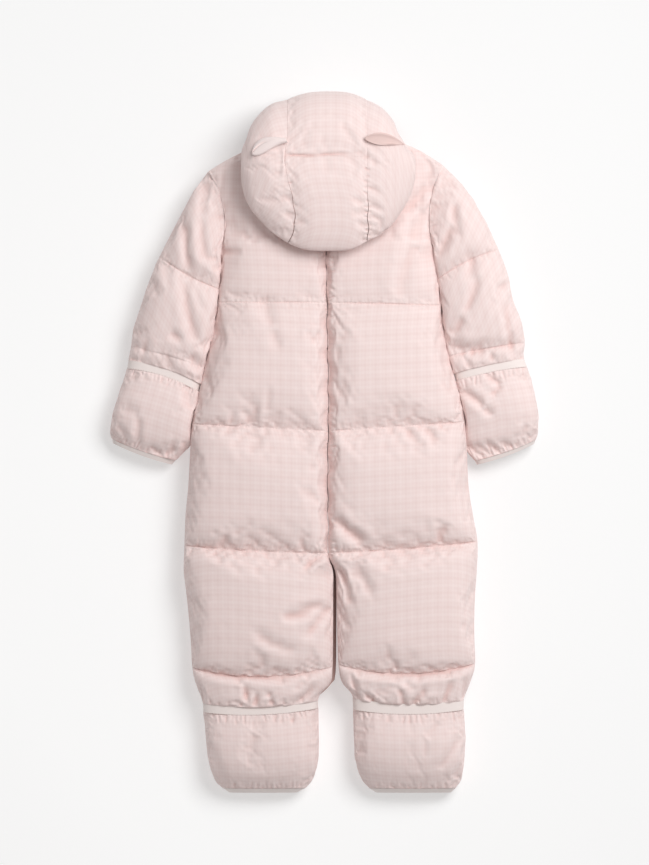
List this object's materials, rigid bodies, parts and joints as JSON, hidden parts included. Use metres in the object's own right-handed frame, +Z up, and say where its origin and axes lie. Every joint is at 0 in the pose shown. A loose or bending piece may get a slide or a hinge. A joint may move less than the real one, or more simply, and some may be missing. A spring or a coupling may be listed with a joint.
{
  "type": "baby snowsuit",
  "caption": "Padded one-piece baby snowsuit laid flat on its front: quilted panels, eared hood, fold-over hand and foot covers, front zip.",
  "frame": {"origin": "centre of the garment's footprint at the level of the surface it lies on", "axes": "+Y towards the hood, +X towards the wearer's right as the back is seen from above, +Z up out of the back"},
  "size_m": [0.4398, 0.72, 0.0905],
  "materials": {
    "shell": "smooth woven polyester shell with a pale pink tonal check",
    "binding": "matt elastic binding, paler pink",
    "zip_tape": "woven tape and moulded chain, pink",
    "zip_metal": "lacquered slider and pull, satin"
  },
  "bodies": {
    "suit": {"back_left": "shell", "back_right": "shell", "front_left": "shell", "front_right": "shell", "sleeve_left": "shell", "sleeve_right": "shell", "mitt_left": "shell", "mitt_right": "shell", "bootie_left": "shell", "bootie_right": "shell", "hood_centre": "shell", "hood_side_left": "shell", "hood_side_right": "shell", "ear_left": "shell", "ear_right": "shell", "mitt_band_left": "binding", "mitt_band_right": "binding", "bootie_band_left": "binding", "bootie_band_right": "binding", "mitt_binding_left": "binding", "mitt_binding_right": "binding", "bootie_binding_left": "binding", "bootie_binding_right": "binding", "zip_tape": "zip_tape", "zip_slider": "zip_metal"},
    "pull": {"zip_pull": "zip_metal"}
  },
  "joints": [
    {"name": "zip_pull_swing", "type": "hinge", "parent": "suit", "child": "pull", "pos_m": [0.0021, 0.282, 0.0115], "axis": [1, 0, 0], "range_deg": [0, 160]}
  ]
}
